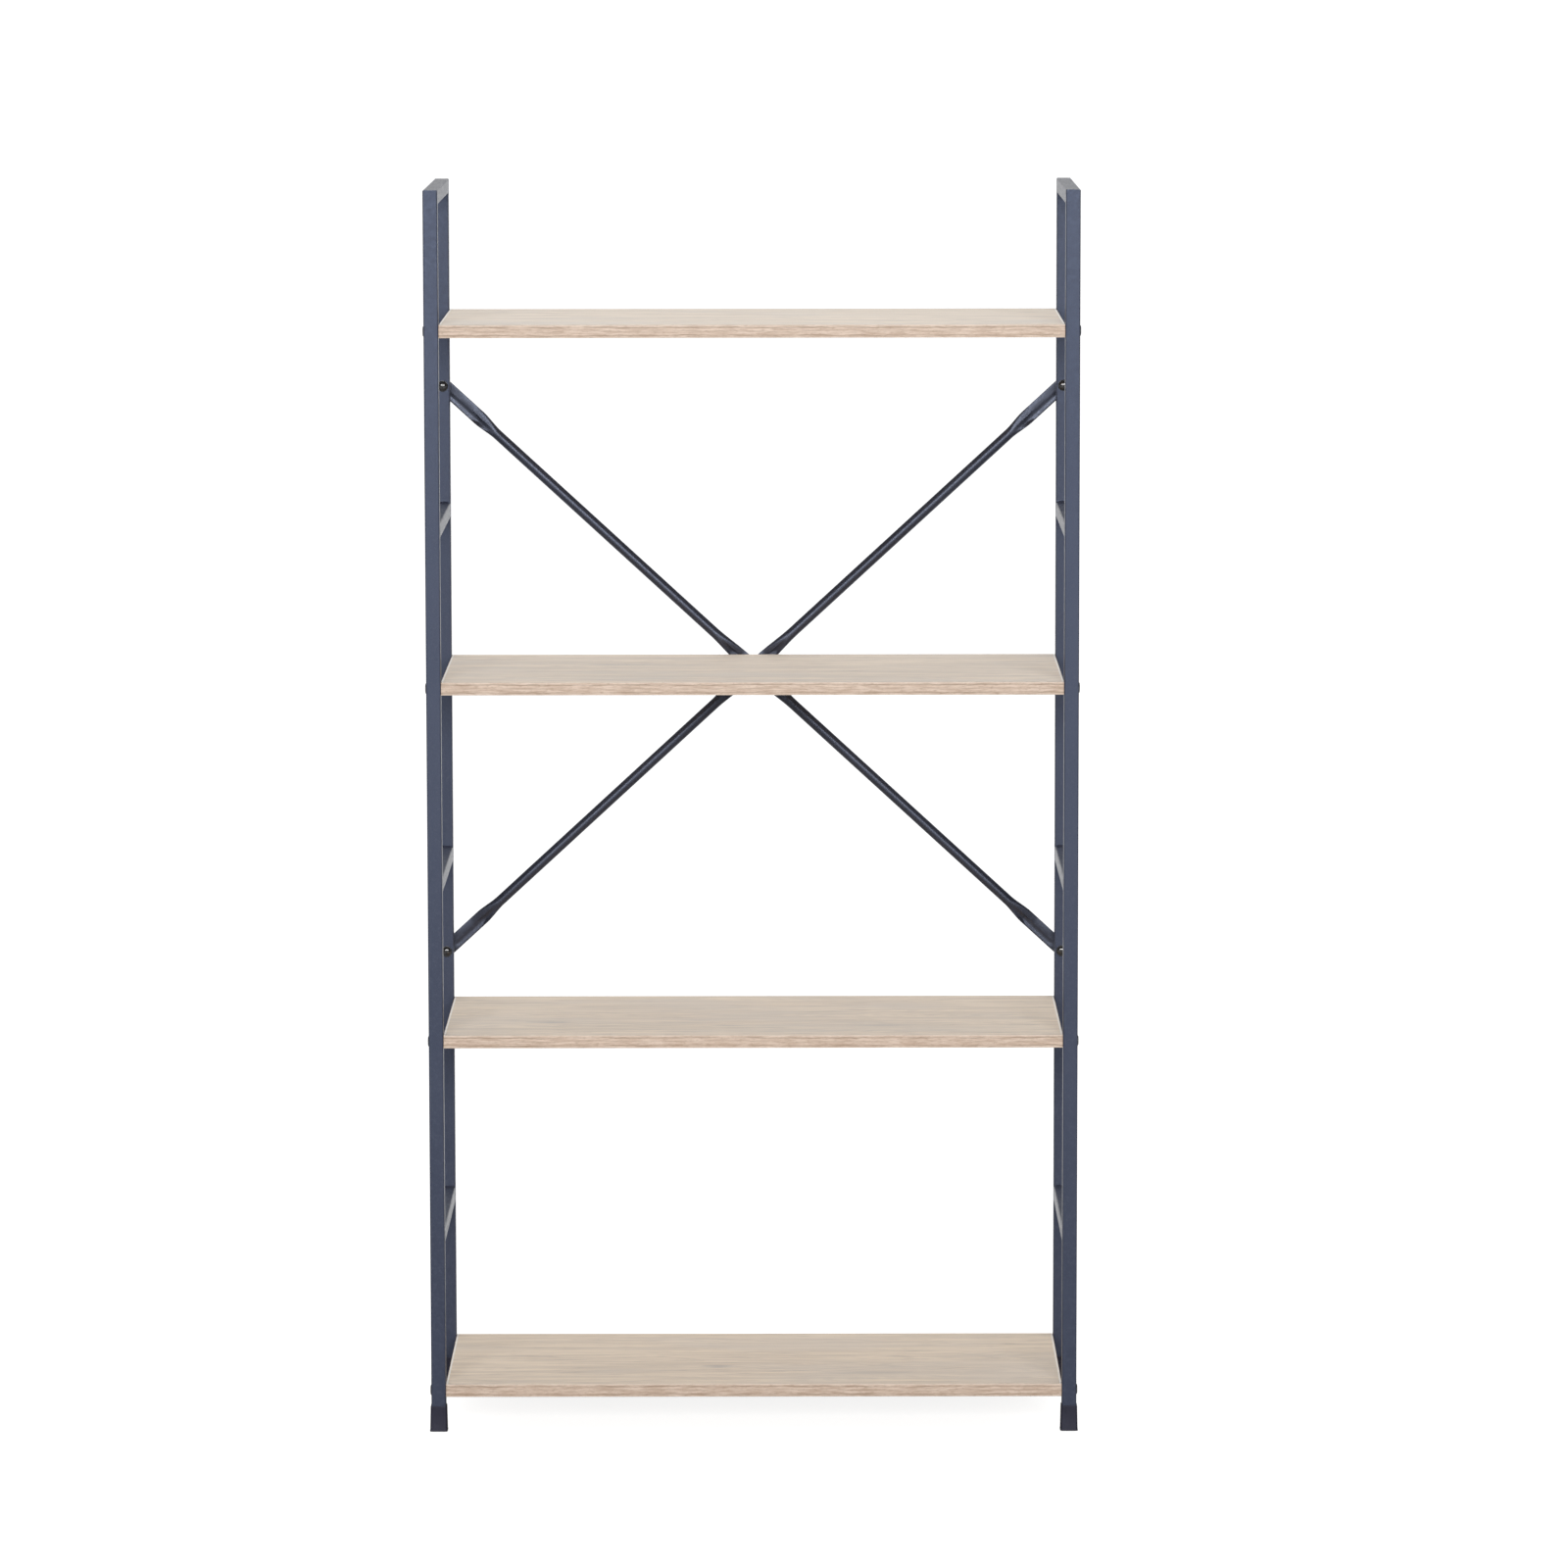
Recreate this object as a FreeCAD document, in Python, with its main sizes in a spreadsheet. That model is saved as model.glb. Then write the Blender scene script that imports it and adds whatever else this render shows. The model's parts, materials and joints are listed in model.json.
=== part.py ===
import FreeCAD, Part
import math
import os

import Sketcher

# Open shelving unit: two welded tube frames, four boards bolted between them and an X-brace behind.
# Front is -Y, up is +Z, and the origin lies on the floor under the middle of the frames.

doc = FreeCAD.newDocument("ShelvingUnit")

# Driving dimensions in millimetres
DRIVING_SIZES = {
    # Frames of square tube
    "overall_width": 800,
    "frame_depth": 318,
    "tube_size": 18,
    "tube_wall": 1,
    "tube_inner_radius": 0.6,
    "frame_above_top_board": 164,
    "bar_above_board": 176,
    # Boards and their edge bands
    "bottom_clearance": 43,
    "board_pitch": 438,
    "board_thickness": 16,
    "board_edge_past_bolts": 6.5,
    "band_thickness": 0.8,
    # Feet pushed over the post ends
    "foot_height": 32,
    "foot_sole": 4,
    "foot_fit": 0.1,
    "foot_rim_wall": 0.8,
    "foot_flare": 1.1,
    "foot_edge": 0.8,
    # Bolts and threaded inserts that hold the boards
    "bolt_diameter": 6,
    "bolt_hole_play": 0.6,
    "bolt_tip": 2,
    "bolt_end_room": 2,
    "shelf_bolt_head_diameter": 13,
    "shelf_bolt_head_thickness": 1.4,
    "shelf_bolt_head_edge": 0.5,
    "socket_flats": 4,
    "socket_depth": 2.2,
    "insert_diameter": 9,
    "insert_length": 15,
    "insert_fit": 0.1,
    "thread_fit": 0.1,
    # X-brace of round tube with pressed flats
    "brace_diameter": 13,
    "brace_wall": 1,
    "brace_slit": 0.2,
    "brace_end_flat": 55,
    "brace_end_taper": 37,
    "brace_middle_flat": 22,
    "brace_middle_taper": 36,
    "brace_low_above_board": 60,
    "brace_cross_below_board": 2,
    # Fasteners of the brace
    "flange_diameter": 14,
    "flange_thickness": 1.2,
    "dome_diameter": 10.4,
    "dome_height": 2.4,
    "nut_flats": 10,
    "nut_height": 6,
    "rivet_diameter": 5,
    "rivet_play": 0.2,
    "rivet_head_diameter": 10,
    "rivet_head_thickness": 0.8,
    "rivet_tail_diameter": 8,
    "rivet_tail_height": 2,
}

sheet = doc.addObject("Spreadsheet::Sheet", "Sizes")
for row, (alias, value) in enumerate(DRIVING_SIZES.items(), start=1):
    sheet.set(f"A{row}", alias)
    sheet.set(f"B{row}", str(value))
    sheet.setAlias(f"B{row}", alias)
doc.recompute()

# Boards from the lowest level up
BOARD_NAMES = ("bottom", "third", "second", "top")
THIRD_LEVEL = BOARD_NAMES.index("third")
SECOND_LEVEL = BOARD_NAMES.index("second")
TOP_LEVEL = BOARD_NAMES.index("top")
SIDES = {"left": -1, "right": 1}
ENDS = {"front": -1, "rear": 1}

# Places and sizes that follow from the driving dimensions
POST_X = "(Sizes.overall_width - Sizes.tube_size) / 2"
POST_Y = "(Sizes.frame_depth - Sizes.tube_size) / 2"
FRAME_BACK = "Sizes.frame_depth / 2"
TUBE_OUTER_RADIUS = "(Sizes.tube_inner_radius + Sizes.tube_wall)"
TUBE_BORE = "(Sizes.tube_size - 2 * Sizes.tube_wall)"
BOARD_LENGTH = "(Sizes.overall_width - 2 * Sizes.tube_size)"
BOARD_DEPTH = f"(2 * ({POST_Y}) + 2 * Sizes.board_edge_past_bolts)"
CORE_LENGTH = f"({BOARD_LENGTH} - 2 * Sizes.band_thickness)"
CORE_DEPTH = f"({BOARD_DEPTH} - 2 * Sizes.band_thickness)"
BOLT_HOLE = "(Sizes.bolt_diameter + Sizes.bolt_hole_play)"
INSERT_BORE = "(Sizes.insert_diameter + Sizes.insert_fit)"
THREAD_BORE = "(Sizes.bolt_diameter + Sizes.thread_fit)"
FOOT_CAVITY = "(Sizes.tube_size + 2 * Sizes.foot_fit)"
FOOT_RIM = f"({FOOT_CAVITY} + 2 * Sizes.foot_rim_wall)"
FOOT_BASE = f"({FOOT_RIM} + 2 * Sizes.foot_flare)"
FLAT_THICKNESS = "(2 * Sizes.brace_wall + Sizes.brace_slit)"
FLAT_WIDTH = "(pi * (Sizes.brace_diameter - Sizes.brace_wall) / 2 + Sizes.brace_wall)"


def board_underside(level):
    """Height of a board's underside."""
    return f"(Sizes.bottom_clearance + {level} * Sizes.board_pitch)"


def board_top(level):
    """Height of a board's upper face."""
    return f"({board_underside(level)} + Sizes.board_thickness)"


def board_middle(level):
    """Height of a board's mid-plane, where its bolts run."""
    return f"({board_underside(level)} + Sizes.board_thickness / 2)"


FRAME_TOP = f"({board_top(TOP_LEVEL)} + Sizes.frame_above_top_board)"
POST_LENGTH = f"({FRAME_TOP} - Sizes.foot_sole)"
CROSSING_HEIGHT = f"({board_underside(SECOND_LEVEL)} - Sizes.brace_cross_below_board)"
BRACE_LOW = f"({board_top(THIRD_LEVEL)} + Sizes.brace_low_above_board)"
BRACE_HALF_RISE = f"({CROSSING_HEIGHT} - {BRACE_LOW})"
BRACE_HALF_LENGTH = f"sqrt(({POST_X}) ^ 2 + {BRACE_HALF_RISE} ^ 2)"
BRACE_ANGLE = f"atan({BRACE_HALF_RISE} / ({POST_X}))"


# Sketcher's numbers for the axes where x and y are zero, the origin and the points of a line, arc or circle
ZERO_AXES = (-2, -1)
ORIGIN = (-1, 1)
START, END, CENTRE = range(1, 4)

# Round sections are split this far to both sides of the tube's width, so that their arcs match a flat's sides
ROUND_SPLIT = "30 deg"
# A flat's edge bulges by this share of its thickness, which makes it an arc with this radius
EDGE_BULGE = 1 / 4
EDGE_RADIUS = 5 / 8
# Brace ends are cut from a longer flat and rounded a little wider than it, so that the arc meets both edges
END_STOCK = 3 / 4
END_ROUNDING = 0.53


# Helpers for sketches, bodies and places

def number(expression):
    """Value of an expression over the sheet's cells."""
    return float(sheet.evalExpression(expression))


def minus(expression):
    """The expression with its sign turned."""
    return f"-({expression})"


def signed(sign, expression):
    """The expression, or its negative for a sign of -1."""
    return expression if sign > 0 else minus(expression)


def place(piece, x="0", y="0", z="0"):
    """Bind a piece's position."""
    for axis, expression in zip("xyz", (x, y, z)):
        piece.setExpression(f"Placement.Base.{axis}", expression)


def new_body(label):
    """Empty body named as its node."""
    body = doc.addObject("PartDesign::Body", label)
    body.Label = label
    return body


def new_sketch(body, plane, offset="0"):
    """Sketch on one of the body's own planes, moved along the plane's normal."""
    support = next(feature for feature in body.Origin.OriginFeatures if feature.Role == plane)
    sketch = body.newObject("Sketcher::SketchObject", f"{body.Name}_sketch")
    sketch.AttachmentSupport = [(support, "")]
    sketch.MapMode = "FlatFace"
    sketch.setExpression("AttachmentOffset.Base.z", offset)
    return sketch


def constrain(sketch, expression, kind, *references):
    """Dimension in a sketch that follows an expression."""
    index = sketch.addConstraint(Sketcher.Constraint(kind, *references, number(expression)))
    sketch.setExpression(f"Constraints[{index}]", expression)


def pin(sketch, geometry, point, corner):
    """Tie a point of a sketch to a pair of expressions, measured from the sketch's origin."""
    for expression, kind, zero_axis in zip(corner, ("DistanceX", "DistanceY"), ZERO_AXES):
        if expression == "0":
            sketch.addConstraint(Sketcher.Constraint("PointOnObject", geometry, point, zero_axis))
        else:
            constrain(sketch, expression, kind, *ORIGIN, geometry, point)


def arc_between(start, end, radius):
    """Arc that turns left from start to end, under half a circle."""
    chord = end - start
    middle = (start + end) / 2
    left = FreeCAD.Vector(-chord.y, chord.x, 0).normalize()
    centre = middle + left * math.sqrt(radius ** 2 - (chord.Length / 2) ** 2)
    first_angle = math.atan2(start.y - centre.y, start.x - centre.x)
    last_angle = math.atan2(end.y - centre.y, end.x - centre.x)
    return Part.ArcOfCircle(Part.Circle(centre, FreeCAD.Vector(0, 0, 1), radius), first_angle, last_angle)


def outline(sketch, corners, arcs=None):
    """Closed outline through corners of expressions; arcs gives the radius of each side that is round."""
    arcs = arcs or {}
    points = [FreeCAD.Vector(number(x), number(y), 0) for x, y in corners]
    count = len(points)
    first = sketch.GeometryCount
    for side in range(count):
        start = points[side]
        end = points[(side + 1) % count]
        if side in arcs:
            sketch.addGeometry(arc_between(start, end, number(arcs[side])), False)
        else:
            sketch.addGeometry(Part.LineSegment(start, end), False)
    for side in range(count):
        following = first + (side + 1) % count
        sketch.addConstraint(Sketcher.Constraint("Coincident", first + side, END, following, START))
    for side in range(count):
        pin(sketch, first + side, START, corners[side])
    for side, radius in arcs.items():
        constrain(sketch, radius, "Radius", first + side)


def circle(sketch, centre, diameter):
    """Circle with its centre at a pair of expressions."""
    middle = FreeCAD.Vector(number(centre[0]), number(centre[1]), 0)
    round_edge = Part.Circle(middle, FreeCAD.Vector(0, 0, 1), number(diameter) / 2)
    index = sketch.addGeometry(round_edge, False)
    pin(sketch, index, CENTRE, centre)
    constrain(sketch, diameter, "Diameter", index)


def rectangle(sketch, width, depth):
    """Rectangle centred on the sketch's origin."""
    half_width = f"{width} / 2"
    half_depth = f"{depth} / 2"
    outline(sketch, [
        (minus(half_width), minus(half_depth)),
        (half_width, minus(half_depth)),
        (half_width, half_depth),
        (minus(half_width), half_depth),
    ])


def rounded_square(sketch, side, radius):
    """Square with round corners, centred on the sketch's origin."""
    edge = f"{side} / 2"
    tangent = f"({side} / 2 - {radius})"
    corners = [
        (minus(tangent), minus(edge)), (tangent, minus(edge)),
        (edge, minus(tangent)), (edge, tangent),
        (tangent, edge), (minus(tangent), edge),
        (minus(edge), tangent), (minus(edge), minus(tangent)),
    ]
    outline(sketch, corners, {side_index: radius for side_index in (1, 3, 5, 7)})


def hexagon(sketch, flats):
    """Regular hexagon measured across its flats."""
    corner_radius = f"{flats} / 2 / cos(30 deg)"
    turns = [f"{angle} deg" for angle in range(30, 390, 60)]
    outline(sketch, [(f"{corner_radius} * cos({turn})", f"{corner_radius} * sin({turn})") for turn in turns])


def tube_profile(sketch):
    """Section of the square tube."""
    rounded_square(sketch, "Sizes.tube_size", TUBE_OUTER_RADIUS)
    rounded_square(sketch, TUBE_BORE, "Sizes.tube_inner_radius")


def pad(body, sketch, length, symmetric=False):
    """Extrude a sketch, to both sides if symmetric."""
    feature = body.newObject("PartDesign::Pad", f"{body.Name}_pad")
    feature.Profile = sketch
    feature.SideType = "Symmetric" if symmetric else "One side"
    feature.setExpression("Length", length)
    return feature


def pocket(body, sketch, depth=None, upward=False):
    """Cut a sketch to a depth against its normal, or along it if upward, or right through if no depth."""
    feature = body.newObject("PartDesign::Pocket", f"{body.Name}_pocket")
    feature.Profile = sketch
    if depth is None:
        feature.SideType = "Symmetric"
        feature.Type = "ThroughAll"
    else:
        feature.Reversed = upward
        feature.setExpression("Length", depth)
    return feature


def revolve(body, sketch):
    """Turn a sketch about its vertical axis."""
    feature = body.newObject("PartDesign::Revolution", f"{body.Name}_revolution")
    feature.Profile = sketch
    feature.ReferenceAxis = (sketch, ["V_Axis"])
    return feature


def loft(body, kind, sections):
    """Straight-sided loft through sketches, additive or subtractive."""
    feature = body.newObject(f"PartDesign::{kind}Loft", f"{body.Name}_loft")
    feature.Profile = sections[0]
    feature.Sections = [(section, [""]) for section in sections[1:]]
    feature.Ruled = True
    return feature


def mirror_left(body, features):
    """Repeat features of the right half on the left half."""
    feature = body.newObject("PartDesign::Mirrored", f"{body.Name}_mirrored")
    plane = next(item for item in body.Origin.OriginFeatures if item.Role == "YZ_Plane")
    feature.Originals = features
    feature.MirrorPlane = (plane, [""])
    body.Tip = feature
    return feature


def group(label, pieces):
    """One node of several separate solids."""
    compound = doc.addObject("Part::Compound", label)
    compound.Label = label
    compound.Links = pieces
    return compound


def copy_at(template, name, rotation, x, y, z):
    """Linked copy of a fastener, turned and placed."""
    link = doc.addObject("App::Link", name)
    link.LinkedObject = template
    link.Placement = FreeCAD.Placement(FreeCAD.Vector(), rotation)
    place(link, x, y, z)
    return link


# Side frames

def mitre(sketch, y_corner, z_corner, y_way, z_way):
    """Right-angled triangle whose long side is a 45 degree mitre through the tube's diagonal."""
    over = "Sizes.tube_size / 2"
    leg = "2 * Sizes.tube_size"
    y_apex = f"({y_corner} - ({y_way}) * {over})"
    z_apex = f"({z_corner} - ({z_way}) * {over})"
    outline(sketch, [
        (y_apex, z_apex),
        (f"{y_apex} + ({y_way}) * {leg}", z_apex),
        (y_apex, f"{z_apex} + ({z_way}) * {leg}"),
    ])


def make_post(side_name, end_name):
    """Upright tube with a mitred top, shelf bolt holes and, at the rear, brace bolt holes."""
    side = SIDES[side_name]
    end = ENDS[end_name]
    body = new_body(f"{side_name}_{end_name}_post")
    profile = new_sketch(body, "XY_Plane")
    tube_profile(profile)
    pad(body, profile, POST_LENGTH)

    top_cut = new_sketch(body, "YZ_Plane")
    mitre(top_cut, signed(-end, "Sizes.tube_size / 2"), POST_LENGTH, str(end), "-1")
    pocket(body, top_cut)

    shelf_holes = new_sketch(body, "YZ_Plane")
    for level in range(len(BOARD_NAMES)):
        circle(shelf_holes, ("0", f"{board_middle(level)} - Sizes.foot_sole"), BOLT_HOLE)
    pocket(body, shelf_holes)

    if end_name == "rear":
        brace_holes = new_sketch(body, "XZ_Plane")
        for way in (-1, 1):
            height = f"{CROSSING_HEIGHT} + {way} * {BRACE_HALF_RISE} - Sizes.foot_sole"
            circle(brace_holes, ("0", height), BOLT_HOLE)
        pocket(body, brace_holes)

    place(body, signed(side, POST_X), signed(end, POST_Y), "Sizes.foot_sole")
    return body


def make_top_bar(side_name):
    """Bar along the top of a frame, mitred into both posts."""
    body = new_body(f"{side_name}_top_bar")
    profile = new_sketch(body, "XZ_Plane")
    tube_profile(profile)
    pad(body, profile, "Sizes.frame_depth", symmetric=True)
    for end in ENDS.values():
        end_cut = new_sketch(body, "YZ_Plane")
        mitre(end_cut, signed(end, FRAME_BACK), "-Sizes.tube_size / 2", str(-end), "1")
        pocket(body, end_cut)
    place(body, signed(SIDES[side_name], POST_X), "0", f"{FRAME_TOP} - Sizes.tube_size / 2")
    return body


def make_cross_bar(side_name, bar_name, level):
    """Bar between the posts above a board, butted and welded."""
    body = new_body(f"{side_name}_{bar_name}_bar")
    profile = new_sketch(body, "XZ_Plane")
    tube_profile(profile)
    pad(body, profile, "Sizes.frame_depth - 2 * Sizes.tube_size", symmetric=True)
    height = f"{board_top(level)} + Sizes.bar_above_board + Sizes.tube_size / 2"
    place(body, signed(SIDES[side_name], POST_X), "0", height)
    return body


def make_foot(side_name, end_name):
    """Sleeve pushed over a post's lower end, flared towards the floor."""
    body = new_body(f"{side_name}_{end_name}_foot")
    cavity_radius = f"({TUBE_OUTER_RADIUS} + Sizes.foot_fit)"
    outer_radius = f"({cavity_radius} + Sizes.foot_rim_wall)"
    sections = []
    for height, width in (
        ("0", f"({FOOT_BASE} - 2 * Sizes.foot_edge)"),
        ("Sizes.foot_edge", FOOT_BASE),
        ("Sizes.foot_height", FOOT_RIM),
    ):
        section = new_sketch(body, "XY_Plane", height)
        rounded_square(section, width, outer_radius)
        sections.append(section)
    loft(body, "Additive", sections)
    cavity = new_sketch(body, "XY_Plane", "Sizes.foot_height")
    rounded_square(cavity, FOOT_CAVITY, cavity_radius)
    pocket(body, cavity, "Sizes.foot_height - Sizes.foot_sole")
    place(body, signed(SIDES[side_name], POST_X), signed(ENDS[end_name], POST_Y), "0")
    return body


# Boards, bands, inserts and shelf bolts

def make_board(name, level):
    """Board core with stepped bores for inserts and bolt tips in both ends."""
    body = new_body(f"{name}_board")
    plan = new_sketch(body, "XY_Plane")
    rectangle(plan, CORE_LENGTH, CORE_DEPTH)
    pad(body, plan, "Sizes.board_thickness")
    insert_depth = "(Sizes.insert_length - Sizes.band_thickness)"
    bores = []
    for diameter, depth in (
        (INSERT_BORE, insert_depth),
        (BOLT_HOLE, f"{insert_depth} + Sizes.bolt_tip + Sizes.bolt_end_room"),
    ):
        bore_sketch = new_sketch(body, "YZ_Plane", f"{CORE_LENGTH} / 2")
        for end in ENDS.values():
            circle(bore_sketch, (signed(end, POST_Y), "Sizes.board_thickness / 2"), diameter)
        bores.append(pocket(body, bore_sketch, depth))
    mirror_left(body, bores)
    place(body, "0", "0", board_underside(level))
    return body


def strip(name, length, depth, x, y, z):
    """Edge band strip centred on x and y."""
    box = doc.addObject("Part::Box", name)
    box.setExpression("Length", length)
    box.setExpression("Width", depth)
    box.setExpression("Height", "Sizes.board_thickness")
    place(box, f"{x} - {length} / 2", f"{y} - {depth} / 2", z)
    return box


def make_bands(name, level):
    """Edge bands: long strips along the front and back, short ones on the ends with insert holes."""
    label = f"{name}_edge_bands"
    underside = board_underside(level)
    drills = []
    for end_name, end in ENDS.items():
        drill = doc.addObject("Part::Cylinder", f"{label}_{end_name}_drill")
        drill.setExpression("Radius", f"{INSERT_BORE} / 2")
        drill.setExpression("Height", BOARD_LENGTH)
        drill.Placement.Rotation = FreeCAD.Rotation(FreeCAD.Vector(0, 1, 0), 90)
        place(drill, f"-{BOARD_LENGTH} / 2", signed(end, POST_Y), board_middle(level))
        drills.append(drill)
    drill_pair = group(f"{label}_drills", drills)

    strips = []
    for end_name, end in ENDS.items():
        middle = f"({BOARD_DEPTH} - Sizes.band_thickness) / 2"
        strips.append(strip(f"{label}_{end_name}", BOARD_LENGTH, "Sizes.band_thickness",
                            "0", signed(end, middle), underside))
    for side_name, side in SIDES.items():
        middle = f"({BOARD_LENGTH} - Sizes.band_thickness) / 2"
        blank = strip(f"{label}_{side_name}_blank", "Sizes.band_thickness", CORE_DEPTH,
                      signed(side, middle), "0", underside)
        drilled = doc.addObject("Part::Cut", f"{label}_{side_name}")
        drilled.Base = blank
        drilled.Tool = drill_pair
        strips.append(drilled)
    return group(label, strips)


def make_insert_template():
    """Threaded sleeve that lies in a board's end, with its mouth at the origin and its length along -Z."""
    body = new_body("insert_template")
    ring = new_sketch(body, "XY_Plane")
    circle(ring, ("0", "0"), "Sizes.insert_diameter")
    circle(ring, ("0", "0"), THREAD_BORE)
    sleeve = pad(body, ring, "Sizes.insert_length")
    sleeve.Reversed = True
    return body


def make_shelf_bolt_template():
    """Thin flat-headed bolt with a hexagon socket, its head standing on the origin and its shank along -Z."""
    body = new_body("shelf_bolt_template")
    shank_radius = "Sizes.bolt_diameter / 2"
    head_radius = "Sizes.shelf_bolt_head_diameter / 2"
    head_top = "Sizes.shelf_bolt_head_thickness"
    shank_end = "-(Sizes.tube_size + Sizes.insert_length + Sizes.bolt_tip)"
    profile = new_sketch(body, "XZ_Plane")
    outline(profile, [
        ("0", shank_end),
        (shank_radius, shank_end),
        (shank_radius, "0"),
        (head_radius, "0"),
        (head_radius, f"{head_top} - Sizes.shelf_bolt_head_edge"),
        (f"{head_radius} - Sizes.shelf_bolt_head_edge", head_top),
        ("0", head_top),
    ])
    revolve(body, profile)
    socket = new_sketch(body, "XY_Plane", head_top)
    hexagon(socket, "Sizes.socket_flats")
    pocket(body, socket, "Sizes.socket_depth")
    return body


def make_board_fasteners(name, level, template, label, seat_x):
    """Four copies of a fastener at a board's corners, facing outwards from their seats."""
    copies = []
    for side_name, side in SIDES.items():
        outward = FreeCAD.Rotation(FreeCAD.Vector(0, 1, 0), 90 * side)
        for end_name, end in ENDS.items():
            copies.append(copy_at(template, f"{name}_{label}_{side_name}_{end_name}", outward,
                                  signed(side, seat_x), signed(end, POST_Y), board_middle(level)))
    return group(f"{name}_{label}", copies)


# X-brace and its fasteners

def brace_section(body, x, y, thickness, width, round_tube):
    """Section of a brace tube across its length: round, or flat with round edges."""
    sketch = new_sketch(body, "YZ_Plane", x)
    if round_tube:
        radius = f"{width} / 2"
        across = f"{radius} * sin({ROUND_SPLIT})"
        along = f"{radius} * cos({ROUND_SPLIT})"
        arcs = {side: radius for side in range(4)}
    else:
        across = f"{thickness} / 2"
        along = f"({width} / 2 - {EDGE_BULGE} * {thickness})"
        arcs = {side: f"{EDGE_RADIUS} * {thickness}" for side in (1, 3)}
    outline(sketch, [
        (f"{y} + {across}", minus(along)),
        (f"{y} + {across}", along),
        (f"{y} - {across}", along),
        (f"{y} - {across}", minus(along)),
    ], arcs)
    return sketch


def make_brace(label, turn, middle_layer):
    """Round tube with flattened ends on the posts and a flattened middle in the given layer."""
    body = new_body(label)
    end_y = f"{FLAT_THICKNESS} / 2"
    middle_y = f"({middle_layer} + 1 / 2) * {FLAT_THICKNESS}"
    flat_start = f"({BRACE_HALF_LENGTH} - Sizes.brace_end_flat)"
    stations = [
        (f"({BRACE_HALF_LENGTH} + {END_STOCK} * {FLAT_WIDTH})", end_y, False),
        (flat_start, end_y, False),
        (f"({flat_start} - Sizes.brace_end_taper)", end_y, True),
        ("(Sizes.brace_middle_flat + Sizes.brace_middle_taper)", middle_y, True),
        ("Sizes.brace_middle_flat", middle_y, False),
    ]
    stations = [(minus(x), y, is_round) for x, y, is_round in stations] + stations[::-1]

    outer = []
    inner = []
    for x, y, is_round in stations:
        width = "Sizes.brace_diameter" if is_round else FLAT_WIDTH
        outer.append(brace_section(body, x, y, FLAT_THICKNESS, width, is_round))
    loft(body, "Additive", outer)
    for x, y, is_round in stations:
        width = "Sizes.brace_diameter" if is_round else FLAT_WIDTH
        inner_width = f"({width} - 2 * Sizes.brace_wall)"
        inner.append(brace_section(body, x, y, "Sizes.brace_slit", inner_width, is_round))
    loft(body, "Subtractive", inner)

    end_radius = f"({END_ROUNDING} * {FLAT_WIDTH})"
    for way in (-1, 1):
        end_cut = new_sketch(body, "XZ_Plane")
        bolt_x = signed(way, BRACE_HALF_LENGTH)
        tip_x = f"{bolt_x} + {way} * {end_radius}"
        far_x = f"{bolt_x} + {way} * {FLAT_WIDTH}"
        outline(end_cut, [
            (bolt_x, signed(-way, end_radius)),
            (tip_x, "0"),
            (bolt_x, signed(way, end_radius)),
            (bolt_x, signed(way, FLAT_WIDTH)),
            (far_x, signed(way, FLAT_WIDTH)),
            (far_x, signed(-way, FLAT_WIDTH)),
            (bolt_x, signed(-way, FLAT_WIDTH)),
        ], {0: end_radius, 1: end_radius})
        pocket(body, end_cut)

    holes = new_sketch(body, "XZ_Plane")
    circle(holes, ("0", "0"), "Sizes.rivet_diameter + Sizes.rivet_play")
    for way in (-1, 1):
        circle(holes, (signed(way, BRACE_HALF_LENGTH), "0"), BOLT_HOLE)
    pocket(body, holes)

    body.Placement.Rotation = FreeCAD.Rotation(FreeCAD.Vector(0, 1, 0), 0)
    body.setExpression("Placement.Rotation.Angle", f"{turn} * {BRACE_ANGLE}")
    place(body, "0", FRAME_BACK, CROSSING_HEIGHT)
    return body


def make_brace_bolt_template():
    """Flanged bolt with a plain domed head, its flange standing on the origin and its shank along -Z."""
    body = new_body("brace_bolt_template")
    shank_radius = "Sizes.bolt_diameter / 2"
    flange_radius = "Sizes.flange_diameter / 2"
    dome_radius = "Sizes.dome_diameter / 2"
    head_top = "(Sizes.flange_thickness + Sizes.dome_height)"
    shank_end = f"-(Sizes.tube_size + {FLAT_THICKNESS} + Sizes.nut_height + Sizes.bolt_tip)"
    profile = new_sketch(body, "XZ_Plane")
    outline(profile, [
        ("0", shank_end),
        (shank_radius, shank_end),
        (shank_radius, "0"),
        (flange_radius, "0"),
        (flange_radius, "Sizes.flange_thickness"),
        (dome_radius, "Sizes.flange_thickness"),
        ("0", head_top),
    ], {5: f"(({dome_radius}) ^ 2 + Sizes.dome_height ^ 2) / (2 * Sizes.dome_height)"})
    revolve(body, profile)
    return body


def make_nut_template():
    """Hexagon nut with a flange, the flange standing on the origin and the nut along +Z."""
    body = new_body("brace_nut_template")
    flange = new_sketch(body, "XY_Plane")
    circle(flange, ("0", "0"), "Sizes.flange_diameter")
    pad(body, flange, "Sizes.flange_thickness")
    hexagonal = new_sketch(body, "XY_Plane")
    hexagon(hexagonal, "Sizes.nut_flats")
    pad(body, hexagonal, "Sizes.nut_height")
    bore = new_sketch(body, "XY_Plane")
    circle(bore, ("0", "0"), THREAD_BORE)
    pocket(body, bore)
    return body


def make_brace_fasteners(label, template, facing, y):
    """Four copies of a fastener at the brace's ends."""
    rotation = FreeCAD.Rotation(FreeCAD.Vector(1, 0, 0), -90 * facing)
    copies = []
    for side_name, side in SIDES.items():
        for way_name, way in (("lower", -1), ("upper", 1)):
            height = f"{CROSSING_HEIGHT} + {way} * {BRACE_HALF_RISE}"
            copies.append(copy_at(template, f"{label}_{side_name}_{way_name}", rotation,
                                  signed(side, POST_X), y, height))
    return group(label, copies)


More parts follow.
